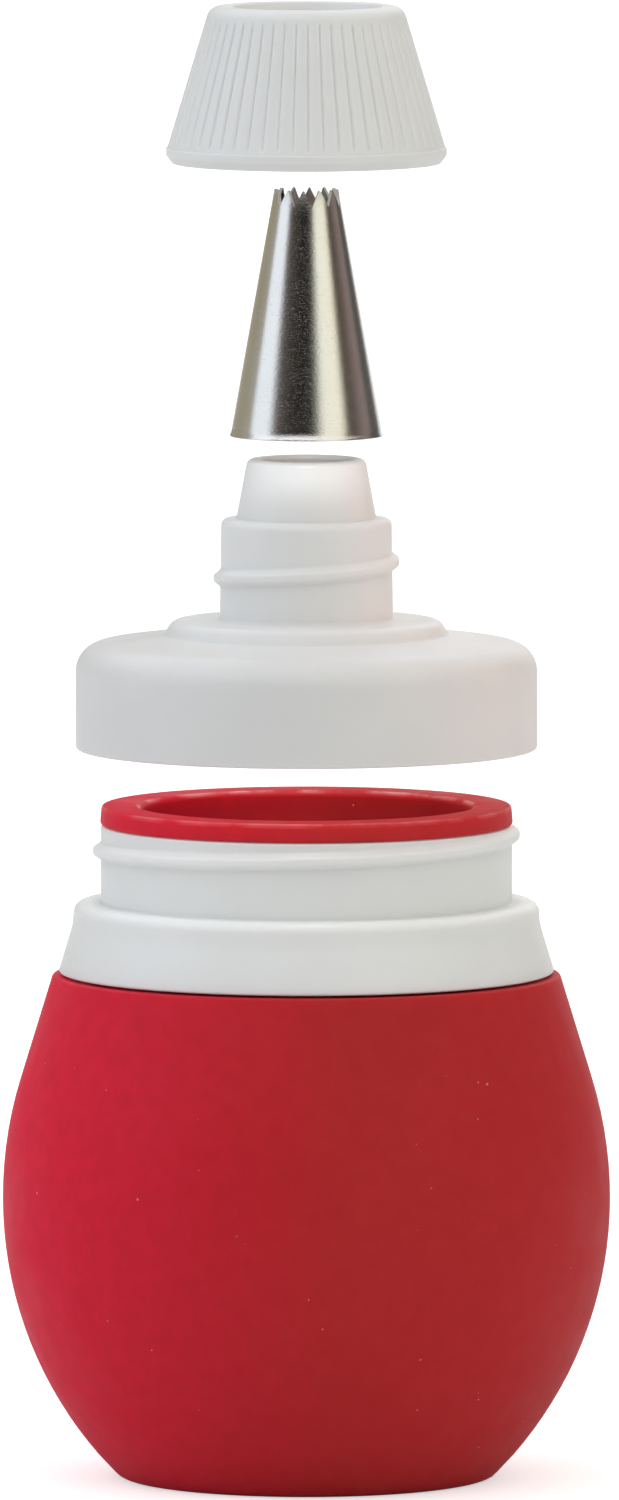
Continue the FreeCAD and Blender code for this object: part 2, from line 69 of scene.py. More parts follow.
def rounded(corners, closed=True):
    """Outline through (radius, height, rounding) corners, each replaced by an arc of its rounding."""
    path = []
    for index, corner in enumerate(corners):
        point = Vector(corner[:2])
        size = corner[2] if len(corner) > 2 else 0
        if not size or (not closed and index in (0, len(corners) - 1)):
            path.append((point.x, point.y))
            continue
        before = (Vector(corners[index - 1][:2]) - point).normalized()
        after = (Vector(corners[(index + 1) % len(corners)][:2]) - point).normalized()
        half = before.angle(after) / 2
        reach = size / math.tan(half)
        centre = point + (before + after).normalized() * (size / math.sin(half))
        start = point + before * reach - centre
        turn = start.angle_signed(point + after * reach - centre)
        count = max(2, math.ceil(abs(turn) / ARC_STEP))
        for i in range(count + 1):
            a = math.atan2(start.y, start.x) - turn * i / count
            path.append((centre.x + size * math.cos(a), centre.y + size * math.sin(a)))
    return path


def upright(radius):
    """A wall of one radius, as a function of height."""
    return lambda height: radius


def leaning(low_radius, low, high_radius, high):
    """A straight wall between two (radius, height) places, as a function of height."""
    return lambda height: low_radius + (high_radius - low_radius) * (height - low) / (high - low)


def refined(path, wall, low, high, step):
    """The outline with extra points on its stretch along a wall, where relief is added."""
    result = []
    for index, point in enumerate(path):
        result.append(point)
        following = path[(index + 1) % len(path)]
        on_wall = all(abs(radius - wall(height)) < ON_WALL for radius, height in (point, following))
        if on_wall and min(point[1], following[1]) < high and max(point[1], following[1]) > low:
            count = math.ceil(abs(following[1] - point[1]) / step)
            for i in range(1, count):
                height = point[1] + (following[1] - point[1]) * i / count
                result.append((wall(height), height))
    return result


def even_angles(count):
    return [360.0 * i / count for i in range(count)]


def turned(name, path, angles, relief=None, base=0.0):
    """Closed mesh turned about Z from an outline, in the frame's metres. relief(angle, radius, height) moves
    points out from the axis. An outline that starts and ends on the axis is closed there by fans."""
    on_axis = abs(path[0][0]) < 1e-6 and abs(path[-1][0]) < 1e-6
    rows = path[1:-1] if on_axis else path
    points = []
    for radius, height in rows:
        for angle in angles:
            out = radius + (relief(angle, radius, height) if relief else 0.0)
            a = math.radians(angle)
            points.append((out * math.cos(a) * MM, out * math.sin(a) * MM, height * MM + base))
    columns = len(angles)
    faces = []
    bands = len(rows) - 1 if on_axis else len(rows)
    for row in range(bands):
        above = (row + 1) % len(rows)
        for column in range(columns):
            beside = (column + 1) % columns
            faces.append((row * columns + column, row * columns + beside,
                          above * columns + beside, above * columns + column))
    if on_axis:
        first = len(points)
        points.append((0.0, 0.0, path[0][1] * MM + base))
        points.append((0.0, 0.0, path[-1][1] * MM + base))
        last_row = (len(rows) - 1) * columns
        for column in range(columns):
            beside = (column + 1) % columns
            faces.append((first, beside, column))
            faces.append((first + 1, last_row + column, last_row + beside))
    mesh = bpy.data.meshes.new(name)
    mesh.from_pydata(points, [], faces)
    mesh.validate()
    mesh.polygons.foreach_set("use_smooth", [True] * len(mesh.polygons))
    mesh.set_sharp_from_angle(angle=SHARP_EDGE)
    piece = bpy.data.objects.new(name, mesh)
    bpy.context.scene.collection.objects.link(piece)
    return piece


def smooth(value):
    """Eased 0 to 1."""
    value = min(max(value, 0.0), 1.0)
    return value * value * (3 - 2 * value)


def thread(wall, crest, height_at_left, first, last, half_width, run_out=20.0):
    """Relief of one helical ridge on a wall, with faded ends: a function of angle, radius and height."""

    def relief(angle, radius, height):
        if abs(radius - wall(height)) > ON_WALL:
            return 0.0
        out = 0.0
        for turn in (angle, angle + 360.0):
            if first < turn < last:
                fade = smooth(min(turn - first, last - turn) / run_out)
                middle = height_at_left + (turn - 180.0) / 360.0 * THREAD_PITCH
                across = 1.0 - abs(height - middle) / half_width
                out += (crest - wall(height)) * fade * smooth(across * CREST_SLOPE)
        return out

    return relief


def joined(*reliefs):
    """Several reliefs added up."""
    return lambda angle, radius, height: sum(relief(angle, radius, height) for relief in reliefs)


# ---------------------------------------------------------------- bulb

BELLY = 38.08
BELLY_HEIGHT = 35.0
LOWER_ARC = 49.0
UPPER_ARC = 51.0
TAPER_START = 50.1
LEDGE = 31.8
LEDGE_INNER = 28.6
LEDGE_HEIGHT = 63.2
BULB_WALL = 2.4
BULB_FLOOR = 3.2
NECK_OUTER = 22.6
NECK_INNER = 20.6
FLANGE_UNDER = 82.0
FLANGE_TOP = 84.4
FLANGE_LOW = 25.83
FLANGE_HIGH = 25.68


def belly_arc(inset, radius, low, high):
    """The stretch of a belly arc between two heights, on the wall's outside or inset from it."""
    centre = BELLY - radius
    first = math.degrees(math.asin((low - BELLY_HEIGHT) / (radius - inset)))
    last = math.degrees(math.asin((high - BELLY_HEIGHT) / (radius - inset)))
    return arc((centre, BELLY_HEIGHT), radius - inset, first, last, math.radians(2.5))


def bulb_outline():
    """From the middle of the foot up the outside, over the flange and down the inside to the floor."""
    lower = belly_arc(0, LOWER_ARC, 0, BELLY_HEIGHT)
    upper = belly_arc(0, UPPER_ARC, BELLY_HEIGHT, TAPER_START)
    inner_upper = belly_arc(BULB_WALL, UPPER_ARC, BELLY_HEIGHT, TAPER_START)
    inner_lower = belly_arc(BULB_WALL, LOWER_ARC, BULB_FLOOR, BELLY_HEIGHT)
    outside = [(0, 0), (18.0, 0), (*lower[0], 2.5)] + lower[2:] + upper[1:]
    flange = [
        (LEDGE, LEDGE_HEIGHT, 0.5),
        (NECK_OUTER, LEDGE_HEIGHT, 2.0),
        (NECK_OUTER, FLANGE_UNDER, 0.3),
        (FLANGE_LOW, FLANGE_UNDER, 0.4),
        (FLANGE_HIGH, FLANGE_TOP, 0.35),
        (NECK_INNER, FLANGE_TOP, 0.9),
        (NECK_INNER, LEDGE_HEIGHT - BULB_WALL, 2.0),
        (LEDGE_INNER, LEDGE_HEIGHT - BULB_WALL, 1.0),
    ]
    floor = [(*inner_lower[0], 3.0), (15.0, BULB_FLOOR), (0, BULB_FLOOR)]
    inside = inner_upper[::-1] + inner_lower[::-1][1:-2] + floor
    return rounded(outside + flange + inside, closed=False)


UNEVENNESS = 0.05


def soft_relief(angle, radius, height):
    """The flange and the belly are very slightly uneven, as moulded silicone is. Relief only goes inward."""
    a = math.radians(angle)
    around = Vector((math.cos(a), math.sin(a), 0))
    if height > FLANGE_UNDER + 0.3:
        return UNEVENNESS * (noise.noise(around * 7 + Vector((0, 0, height))) - 1)
    if NECK_OUTER + 1 < radius:
        return UNEVENNESS * (noise.noise(around * 1.6 + Vector((0, 0, height * 0.05))) - 1)
    return 0.0


def squeeze_bulb():
    return turned("silicone_bulb", bulb_outline(), even_angles(192), soft_relief)


# ---------------------------------------------------------------- collar

COLLAR_BOTTOM = LEDGE_HEIGHT + 0.3
COLLAR_FOOT = 31.03
COLLAR_BEND = 29.12
COLLAR_BEND_HEIGHT = 69.8
COLLAR_SHOULDER = 72.3
COLLAR_BORE = 22.85
COLLAR_WALL = 2.1
BAND = 25.72
BAND_TOP = 81.9
RELIEF_STEP = 0.16


def gate_mark(angle, radius, height):
    """Faint moulding mark on the front of the band: a short raised line and a dot over it."""
    if abs(radius - BAND) > ON_WALL:
        return 0.0
    across = (angle - FRONT - 7.6) * math.radians(1) * BAND
    line = smooth(1 - abs(across) / 0.22) * smooth(1 - abs(height - 74.3) / 1.2)
    dot = smooth(1 - math.hypot(across + 0.1, height - 76.6) / 0.45)
    return 0.05 * line + 0.07 * dot


def neck_collar():
    corners = [
        (COLLAR_FOOT - COLLAR_WALL, COLLAR_BOTTOM, 0.2),
        (COLLAR_FOOT, COLLAR_BOTTOM, 0.25),
        (COLLAR_BEND, COLLAR_BEND_HEIGHT, 8.0),
        (COLLAR_BEND, COLLAR_SHOULDER, 1.3),
        (BAND, COLLAR_SHOULDER, 0.3),
        (BAND, BAND_TOP, 0.25),
        (COLLAR_BORE, BAND_TOP, 0.2),
        (COLLAR_BORE, COLLAR_BOTTOM + COLLAR_WALL),
        (COLLAR_BORE + COLLAR_WALL, COLLAR_BOTTOM + COLLAR_WALL),
        (COLLAR_BORE + COLLAR_WALL, COLLAR_SHOULDER - 2.2),
        (COLLAR_BEND - COLLAR_WALL, COLLAR_SHOULDER - 2.2),
        (COLLAR_BEND - COLLAR_WALL, COLLAR_BEND_HEIGHT, 8.0),
    ]
    wall = upright(BAND)
    path = refined(rounded(corners), wall, COLLAR_SHOULDER, BAND_TOP, RELIEF_STEP)
    ridge = thread(wall, crest=26.7, height_at_left=78.7, first=145.0, last=380.0, half_width=RIDGE_HALF)
    return turned("threaded_collar", path, even_angles(360), joined(ridge, gate_mark))


# ---------------------------------------------------------------- lid

SKIRT = 28.85
SKIRT_INNER = 27.3
CEILING = 11.7
PLATFORM_TOP = 16.15
SPOUT_FOOT = 10.84
SPOUT = 10.66
SPOUT_BORE = 8.9
SHOULDER = 28.9
SPOUT_TOP = 36.35


def spout_lid(base):
    corners = [
        (SKIRT_INNER, 0, 0.35),
        (SKIRT, 0, 0.45),
        (SKIRT, 12.9, 3.6),
        (17.8, 14.35, 0.6),
        (16.7, PLATFORM_TOP, 1.5),
        (SPOUT_FOOT, PLATFORM_TOP, 0.6),
        (SPOUT, SHOULDER, 0.9),
        (8.76, SHOULDER, 0.25),
        (7.36, SPOUT_TOP, 0.9),
        (5.55, SPOUT_TOP, 0.5),
        (7.0, SHOULDER, 1.0),
        (SPOUT_BORE, SHOULDER - 1.7, 0.5),
        (SPOUT_BORE, 14.25, 0.6),
        (15.5, 14.25, 0.5),
        (15.5, 12.9, 0.5),
        (24.0, CEILING, 0.5),
        (SKIRT_INNER, CEILING, 0.3),
    ]
    spout_wall = leaning(SPOUT_FOOT, PLATFORM_TOP, SPOUT, SHOULDER)
    skirt_wall = upright(SKIRT_INNER)
    path = refined(rounded(corners), spout_wall, 18.0, 27.0, RELIEF_STEP)
    path = refined(path, skirt_wall, 5.0, 9.0, RELIEF_STEP)
    ridge = thread(spout_wall, crest=11.62, height_at_left=21.4, first=145.0, last=385.0,
                   half_width=RIDGE_HALF)
    lug_height = 6.7 + 97.5 / 360 * THREAD_PITCH
    lug = thread(skirt_wall, crest=26.2, height_at_left=lug_height, first=37.5, last=127.5,
                 half_width=LUG_HALF)
    return turned("dome_lid", path, even_angles(360), joined(ridge, lug), base)


# ---------------------------------------------------------------- nozzle

TEETH = 12
TOOTH_COLUMNS = 16
TOOTH_DEPTH = 2.1
FIRST_CUT = 279.4
NOZZLE_WALL = 0.45
NOZZLE_LENGTH = 30.92
FLARE = 9.31
FLARE_HEIGHT = 1.1
NOZZLE_TIP = 4.0


def star_nozzle(base):
    """Thin cone whose top rows follow the zigzag of the teeth."""
    slope = (FLARE - NOZZLE_TIP) / (NOZZLE_LENGTH - FLARE_HEIGHT)
    rows = 26
    column_angle = 360.0 / (TEETH * TOOTH_COLUMNS)
    angles = [FIRST_CUT + column_angle * i for i in range(TEETH * TOOTH_COLUMNS)]
    columns = len(angles)
    points = []

    def add_row(place):
        for column, angle in enumerate(angles):
            radius, height = place(column)
            a = math.radians(angle)
            points.append((radius * math.cos(a) * MM, radius * math.sin(a) * MM, height * MM + base))

    def on_cone(column, part, inset):
        """A place on the cone, part of the way from the flare to the tooth's edge over that column."""
        share = (column % TOOTH_COLUMNS) / TOOTH_COLUMNS
        rise = 1 - abs(2 * share - 1)
        top = NOZZLE_LENGTH - TOOTH_DEPTH * (1 - min(rise / 0.94, 1.0))
        height = FLARE_HEIGHT + (top - FLARE_HEIGHT) * part
        return FLARE - (height - FLARE_HEIGHT) * slope - inset, height

    for spot in ((9.57, 0.10), (9.52, 0.30), (9.43, 0.45), (FLARE, FLARE_HEIGHT)):
        add_row(lambda column, spot=spot: spot)
    for row in range(1, rows + 1):
        add_row(lambda column, part=row / rows: on_cone(column, part, 0.0))
    for row in range(rows, 0, -1):
        add_row(lambda column, part=row / rows: on_cone(column, part, NOZZLE_WALL))
    for spot in ((FLARE - NOZZLE_WALL, FLARE_HEIGHT), (9.07, 0.3), (9.16, 0.0), (9.51, 0.0)):
        add_row(lambda column, spot=spot: spot)
    count = len(points) // columns
    faces = []
    for row in range(count):
        above = (row + 1) % count
        for column in range(columns):
            beside = (column + 1) % columns
            faces.append((row * columns + column, row * columns + beside,
                          above * columns + beside, above * columns + column))
    mesh = bpy.data.meshes.new("steel_star_nozzle")
    mesh.from_pydata(points, [], faces)
    mesh.validate()
    mesh.polygons.foreach_set("use_smooth", [True] * len(mesh.polygons))
    mesh.set_sharp_from_angle(angle=SHARP_EDGE)
    piece = bpy.data.objects.new("steel_star_nozzle", mesh)
    bpy.context.scene.collection.objects.link(piece)
    return piece


# ---------------------------------------------------------------- nut

RIBS = 55
FIRST_GROOVE = FRONT + 0.8
NUT_HEIGHT = 19.65
NUT_ROOF = 17.2
NUT_HOLLOW = 9.0
CONE_START = 2.0
CONE_LOW = 17.35
CONE_HIGH = 12.05
RIB_LOW = 2.3
RIB_HIGH = 18.3
GROOVE_SHARE = 0.2
GROOVE_DEPTH = 0.26
SLEEVE = 11.85


def rib_relief(angle, radius, height):
    """Fine grooves up the outside of the cone, which fade out at both ends."""
    surface = CONE_LOW - (height - CONE_START) * (CONE_LOW - CONE_HIGH) / (NUT_HEIGHT - CONE_START)
    if abs(radius - surface) > 0.02:
        return 0.0
    part = (angle - FIRST_GROOVE) / (360.0 / RIBS) % 1.0
    from_groove = min(part, 1 - part)
    groove = max(0.0, 1 - from_groove / GROOVE_SHARE) ** 1.5
    fade = smooth((height - RIB_LOW) / 0.5) * smooth((RIB_HIGH - height) / 0.9)
    return -GROOVE_DEPTH * groove * fade


def coupling_nut(base):
    cone_slope = (CONE_LOW - CONE_HIGH) / (NUT_HEIGHT - CONE_START)

    def cone(height):
        return (CONE_LOW - (height - CONE_START) * cone_slope, height)

    ribbed = [cone(h) for h in (2.3, 2.55, 2.8, 5.0, 8.0, 11.0, 14.0, 17.1, 17.4, 17.7, 18.0, 18.3)]
    corners = [
        (16.75, 0, 0.35),
        (17.52, 1.05, 0.4),
        (17.52, CONE_START, 0.1),
        (CONE_LOW, CONE_START, 0.05),
        *ribbed,
        (CONE_HIGH, NUT_HEIGHT, 1.7),
        (9.4, NUT_HEIGHT, 0.4),
        (8.48, 17.9, 0.15),
        (8.60, NUT_ROOF, 0.2),
        (SLEEVE, NUT_ROOF, 0.5),
        (SLEEVE, 0.5, 0.3),
        (13.15, 0.5, 0.3),
        (13.15, NUT_HOLLOW, 0.3),
        (cone(NUT_HOLLOW)[0] - 1.35, NUT_HOLLOW, 0.3),
        (CONE_LOW - 1.35, CONE_START, 0.3),
        (15.94, 0, 0.3),
    ]
    sleeve_wall = upright(SLEEVE)
    path = refined(rounded(corners), sleeve_wall, 3.5, 7.5, RELIEF_STEP)
    pitch = 360.0 / RIBS
    shares = (0, 0.05, 0.1, 0.15, 0.2, 0.35, 0.5, 0.65, 0.8, 0.85, 0.9, 0.95)
    angles = [FIRST_GROOVE + (rib + share) * pitch for rib in range(RIBS) for share in shares]
    lug_height = 5.2 + 90 / 360 * THREAD_PITCH
    lug = thread(sleeve_wall, crest=11.1, height_at_left=lug_height, first=45.0, last=135.0,
                 half_width=LUG_HALF)

    def relief(angle, radius, height):
        return rib_relief(angle, radius, height) + lug(angle % 360.0, radius, height)

    return turned("ribbed_nut", path, angles, relief, base)


# ---------------------------------------------------------------- materials


class Nodes:
    """A material's node tree with short calls for the nodes used here."""

    def __init__(self, name):
        self.material = bpy.data.materials.new(name)
        self.material.use_nodes = True
        self.tree = self.material.node_tree
        self.shader = self.tree.nodes["Principled BSDF"]
        self.place = self.tree.nodes.new("ShaderNodeTexCoord").outputs["Object"]

    def link(self, source, target):
        self.tree.links.new(source, target)

    def set(self, **values):
        for name, value in values.items():
            self.shader.inputs[name.replace("_", " ")].default_value = value

    def stretched(self, scale):
        node = self.tree.nodes.new("ShaderNodeMapping")
        node.inputs["Scale"].default_value = scale
        self.link(self.place, node.inputs["Vector"])
        return node.outputs["Vector"]

    def noise(self, scale, detail=3.0, roughness=0.5, vector=None):
        node = self.tree.nodes.new("ShaderNodeTexNoise")
        node.inputs["Scale"].default_value = scale
        node.inputs["Detail"].default_value = detail
        node.inputs["Roughness"].default_value = roughness
        self.link(vector or self.place, node.inputs["Vector"])
        return node.outputs["Fac"]

    def specks(self, scale, size, share):
        """Small round specks, 1 inside a speck and 0 elsewhere. share is the part of the cells with one."""
        cells = self.tree.nodes.new("ShaderNodeTexVoronoi")
        cells.inputs["Scale"].default_value = scale
        self.link(self.place, cells.inputs["Vector"])
        inside = self.ranged(cells.outputs["Distance"], size, size * 0.5, 0.0, 1.0)
        channel = self.tree.nodes.new("ShaderNodeSeparateColor")
        self.link(cells.outputs["Color"], channel.inputs["Color"])
        chosen = self.maths("LESS_THAN", channel.outputs["Red"], share)
        return self.maths("MULTIPLY", inside, chosen)

    def maths(self, operation, first, second):
        node = self.tree.nodes.new("ShaderNodeMath")
        node.operation = operation
        for socket, value in zip(node.inputs, (first, second)):
            if isinstance(value, (int, float)):
                socket.default_value = value
            else:
                self.link(value, socket)
        return node.outputs["Value"]

    def near(self, value, centre, width):
        """1 at a centre value, falling to 0 a width away on both sides."""
        away = self.maths("ABSOLUTE", self.maths("SUBTRACT", value, centre), 0.0)
        return self.ranged(away, 0.0, width, 1.0, 0.0)

    def ranged(self, value, low, high, to_low, to_high):
        node = self.tree.nodes.new("ShaderNodeMapRange")
        for name, number in (("From Min", low), ("From Max", high), ("To Min", to_low), ("To Max", to_high)):
            node.inputs[name].default_value = number
        self.link(value, node.inputs["Value"])
        return node.outputs["Result"]

    def mixed(self, factor, first, second):
        node = self.tree.nodes.new("ShaderNodeMix")
        node.data_type = "RGBA"
        self.link(factor, node.inputs["Factor"])
        for socket, value in zip((node.inputs["A"], node.inputs["B"]), (first, second)):
            if isinstance(value, tuple):
                socket.default_value = (*value, 1.0)
            else:
                self.link(value, socket)
        return node.outputs["Result"]

    def bump(self, height, distance, strength=1.0, under=None):
        node = self.tree.nodes.new("ShaderNodeBump")
        node.inputs["Strength"].default_value = strength
        node.inputs["Distance"].default_value = distance
        self.link(height, node.inputs["Height"])
        if under:
            self.link(under, node.inputs["Normal"])
        return node.outputs["Normal"]


def red_silicone():
    """Matte moulded silicone: red, with painted light that makes the left (-X) side a brighter crimson, a
    fine satin grain, a little flour dust caught on it, and painted highlights, pale pink, on the flange's
    rounded rims. The wall lets some red light through."""
    m = Nodes("red_silicone")
    cloud = m.ranged(m.noise(28, 4), 0.3, 0.7, 0.0, 1.0)
    fine = m.ranged(m.noise(420, 3), 0.3, 0.7, 0.0, 1.0)
    split = m.tree.nodes.new("ShaderNodeSeparateXYZ")
    m.link(m.place, split.inputs["Vector"])
    # painted light: toward the left (-X) the red is mixed into a brighter crimson, standing in for the light
    # from that side
    painted_left_light = m.ranged(split.outputs["X"], -0.034, 0.004, 1.0, 0.0)
    base = m.mixed(cloud, (0.475, 0.023, 0.025), (0.53, 0.027, 0.030))
    base = m.mixed(painted_left_light, base, (0.76, 0.010, 0.046))
    base = m.mixed(m.maths("MULTIPLY", fine, 0.25), base, (0.43, 0.009, 0.014))
    dust = m.maths("MAXIMUM", m.specks(230, 0.050, 0.30), m.specks(520, 0.070, 0.16))
    faded = m.maths("MULTIPLY", dust, m.ranged(m.noise(60, 2), 0.42, 0.62, 0.25, 1.0))
    base = m.mixed(faded, base, (0.85, 0.40, 0.40))
    reach = m.tree.nodes.new("ShaderNodeVectorMath")
    reach.operation = "LENGTH"
    m.link(m.stretched((1.0, 1.0, 0.0)), reach.inputs[0])
    radius = reach.outputs["Value"]
    # painted highlights: pale pink lines on the rounded inner and outer rims of the flange top, standing in
    # for the light they catch
    outer_glint = m.maths("MULTIPLY", m.near(radius, 0.02552, 0.00020), 0.45)
    painted_glints = m.maths("MAXIMUM", m.near(radius, 0.02100, 0.00040), outer_glint)
    painted_glints = m.maths("MULTIPLY", painted_glints, m.ranged(split.outputs["Z"], 0.08370, 0.08400, 0.0, 1.0))
    painted_glints = m.maths("MULTIPLY", painted_glints, m.ranged(m.noise(210, 4), 0.40, 0.58, 0.05, 0.75))
    m.link(m.mixed(painted_glints, base, (0.90, 0.42, 0.43)), m.shader.inputs["Base Color"])
    m.link(m.ranged(m.noise(150, 4), 0.3, 0.7, 0.46, 0.60), m.shader.inputs["Roughness"])
    grain = m.bump(m.noise(2600, 2), 0.00003, 0.5)
    m.link(m.bump(dust, 0.00006, 0.6, grain), m.shader.inputs["Normal"])
    m.set(IOR=1.40, Specular_IOR_Level=0.15)
    m.set(Subsurface_Weight=0.6, Subsurface_Scale=0.006, Subsurface_Radius=(1.0, 0.12, 0.12))
    m.set(Sheen_Weight=0.08, Sheen_Roughness=0.45, Sheen_Tint=(1.0, 0.15, 0.25, 1.0))
    return m.material


def white_plastic(name, tone, cloudy, seed, depth, shaded_below=None):
    """Satin moulded polypropylene: milky, with slow cloudy changes of tone, fine flow marks and faint
    scuffs. depth is how far light spreads under the surface, in metres. The last argument gives the two
    heights between which a darker copy of the tone below, painted shade, turns into the plain tone above."""
    m = Nodes(name)
    shifted = m.stretched((1.0, 1.0, 1.0))
    shifted.node.inputs["Location"].default_value = (seed, seed * 0.7, seed * 0.3)
    cloud = m.ranged(m.noise(45, 4, 0.55, shifted), 0.3, 0.7, 0.0, 1.0)
    base = m.mixed(cloud, tone, cloudy)
    if shaded_below:
        # painted shade: below the given heights the tone is mixed into a darker copy of itself
        split = m.tree.nodes.new("ShaderNodeSeparateXYZ")
        m.link(m.place, split.inputs["Vector"])
        shaded_tone = tuple(0.925 * part for part in tone)
        shaded_cloudy = tuple(0.935 * part for part in cloudy)
        painted_shade = m.mixed(cloud, shaded_tone, shaded_cloudy)
        base = m.mixed(m.ranged(split.outputs["Z"], *shaded_below, 1.0, 0.0), base, painted_shade)
    scuff_space = m.stretched((160.0, 160.0, 900.0))
    scuffs = m.ranged(m.noise(1.0, 6, 0.6, scuff_space), 0.62, 0.75, 0.0, 1.0)
    base = m.mixed(m.maths("MULTIPLY", scuffs, 0.10), base, (0.93, 0.93, 0.92))
    dust = m.specks(420, 0.03, 0.10)
    m.link(m.mixed(m.maths("MULTIPLY", dust, 0.35), base, (0.45, 0.42, 0.40)), m.shader.inputs["Base Color"])
    rough = m.ranged(m.noise(180, 5), 0.3, 0.7, 0.30, 0.44)
    m.link(m.maths("ADD", rough, m.maths("MULTIPLY", scuffs, 0.12)), m.shader.inputs["Roughness"])
    flow = m.bump(m.noise(90, 3, 0.5, shifted), 0.00010, 0.35)
    m.link(m.bump(m.noise(2200, 3), 0.00002, 0.4, flow), m.shader.inputs["Normal"])
    m.set(IOR=1.49, Subsurface_Weight=0.8, Subsurface_Scale=depth, Subsurface_Radius=(1.0, 0.95, 0.9))
    return m.material


def drawn_steel():
    """Stainless sheet drawn on a mandrel: short fine marks round the cone and a slightly uneven polish."""
    m = Nodes("drawn_steel")
    dashes = m.noise(1.0, 3, 0.6, m.stretched((2400.0, 2400.0, 8200.0)))
    rings = m.noise(1.0, 3, 0.6, m.stretched((420.0, 420.0, 5200.0)))
    cloud = m.ranged(m.noise(150, 4), 0.3, 0.7, 0.0, 1.0)
    base = m.mixed(cloud, (0.72, 0.70, 0.66), (0.76, 0.745, 0.72))
    worn = m.ranged(dashes, 0.60, 0.72, 0.0, 0.5)
    m.link(m.mixed(worn, base, (0.50, 0.48, 0.45)), m.shader.inputs["Base Color"])
    rough = m.ranged(m.noise(1100, 3), 0.3, 0.7, 0.09, 0.13)
    m.link(m.maths("ADD", rough, m.ranged(rings, 0.45, 0.75, 0.0, 0.08)), m.shader.inputs["Roughness"])
    marks = m.bump(rings, 0.000004, 0.5)
    m.link(m.bump(dashes, 0.000019, 1.0, marks), m.shader.inputs["Normal"])
    m.set(Metallic=1.0)
    return m.material


# ---------------------------------------------------------------- stage, light and camera

CAMERA_DISTANCE = 3.0
CAMERA_ELEVATION = math.radians(5.2)
VIEW_HEIGHT = 0.1875
AIM = Vector((0.00038, 0.0, 0.0913))

# light by direction, in degrees round from the front, positive to the right
LOWER_LIGHT = [
    (-180, (0.27, 0.25, 0.19)), (-125, (0.26, 0.24, 0.18)), (-102, (0.30, 0.29, 0.26)),
    (-92, (0.73, 0.79, 0.87)), (-64, (0.75, 0.80, 0.88)),
    (-52, (0.13, 0.12, 0.12)), (-42, (0.055, 0.048, 0.045)), (-28, (0.028, 0.024, 0.021)),
    (-14, (0.014, 0.012, 0.010)), (6, (0.014, 0.012, 0.010)), (15, (0.10, 0.10, 0.09)),
    (28, (0.76, 0.77, 0.68)), (50, (0.80, 0.79, 0.68)), (60, (0.76, 0.73, 0.61)),
    (70, (0.085, 0.070, 0.050)), (83, (0.085, 0.068, 0.058)),
    (103, (0.19, 0.145, 0.140)), (115, (0.19, 0.155, 0.145)),
    (123, (0.075, 0.068, 0.063)), (145, (0.085, 0.083, 0.082)),
    (160, (0.75, 0.75, 0.75)), (180, (0.75, 0.75, 0.75)),
]
UPPER_LIGHT = [
    (-180, (0.78, 0.80, 0.82)), (-100, (0.93, 0.98, 1.06)), (-60, (0.94, 0.99, 1.07)),
    (0, (0.88, 0.885, 0.885)), (60, (0.85, 0.83, 0.78)), (100, (0.78, 0.75, 0.70)), (180, (0.78, 0.79, 0.80)),
]
UPPER_START = (0.42, 0.58)  # the sine of the elevation over which the upper light takes over
ZENITH = (0.72, 1.0, 1.42, 1.05)  # the light weakens from 1.42 to 1.05 toward straight overhead


def world_light():
    """Soft studio light by direction. Low down there are two bright sides with the dim room between them, and
    above that an even ring, cooler on the left and warmer on the right, that weakens straight overhead."""
    world = bpy.data.worlds.new("studio")
    world.use_nodes = True
    bpy.context.scene.world = world
    tree = world.node_tree
    tree.nodes.clear()

    def add(kind):
        return tree.nodes.new("ShaderNode" + kind)

    def ranged(source, low, high, to_low=0.0, to_high=1.0):
        node = add("MapRange")
        node.interpolation_type = "SMOOTHSTEP"
        for name, number in (("From Min", low), ("From Max", high), ("To Min", to_low), ("To Max", to_high)):
            node.inputs[name].default_value = number
        tree.links.new(source, node.inputs["Value"])
        return node.outputs["Result"]

    def ramp(position, stops):
        node = add("ValToRGB")
        tree.links.new(position, node.inputs["Fac"])
        elements = node.color_ramp.elements
        while len(elements) < len(stops):
            elements.new(0.5)
        for element, (degrees, colour) in zip(elements, stops):
            element.position = (degrees + 180) / 360
            element.color = (*colour, 1.0)
        return node.outputs["Color"]

    place = add("TexCoord")
    split = add("SeparateXYZ")
    tree.links.new(place.outputs["Generated"], split.inputs["Vector"])
    flip = add("Math")
    flip.operation = "MULTIPLY"
    flip.inputs[1].default_value = -1.0
    tree.links.new(split.outputs["Y"], flip.inputs[0])
    around = add("Math")
    around.operation = "ARCTAN2"
    tree.links.new(split.outputs["X"], around.inputs[0])
    tree.links.new(flip.outputs["Value"], around.inputs[1])
    part = add("MapRange")
    part.inputs["From Min"].default_value = -math.pi
    part.inputs["From Max"].default_value = math.pi
    tree.links.new(around.outputs["Value"], part.inputs["Value"])
    upper = ramp(part.outputs["Result"], UPPER_LIGHT)
    lower = ramp(part.outputs["Result"], LOWER_LIGHT)
    colour = add("Mix")
    colour.data_type = "RGBA"
    tree.links.new(ranged(split.outputs["Z"], *UPPER_START), colour.inputs["Factor"])
    tree.links.new(lower, colour.inputs["A"])
    tree.links.new(upper, colour.inputs["B"])
    light = add("Background")
    tree.links.new(colour.outputs["Result"], light.inputs["Color"])
    tree.links.new(ranged(split.outputs["Z"], *ZENITH), light.inputs["Strength"])
    plain = add("Background")
    plain.inputs["Color"].default_value = (1.0, 1.0, 1.0, 1.0)
    seen = add("LightPath")
    either = add("MixShader")
    tree.links.new(seen.outputs["Is Camera Ray"], either.inputs["Fac"])
    tree.links.new(light.outputs["Background"], either.inputs[1])
    tree.links.new(plain.outputs["Background"], either.inputs[2])
    out = add("OutputWorld")
    tree.links.new(either.outputs["Shader"], out.inputs["Surface"])


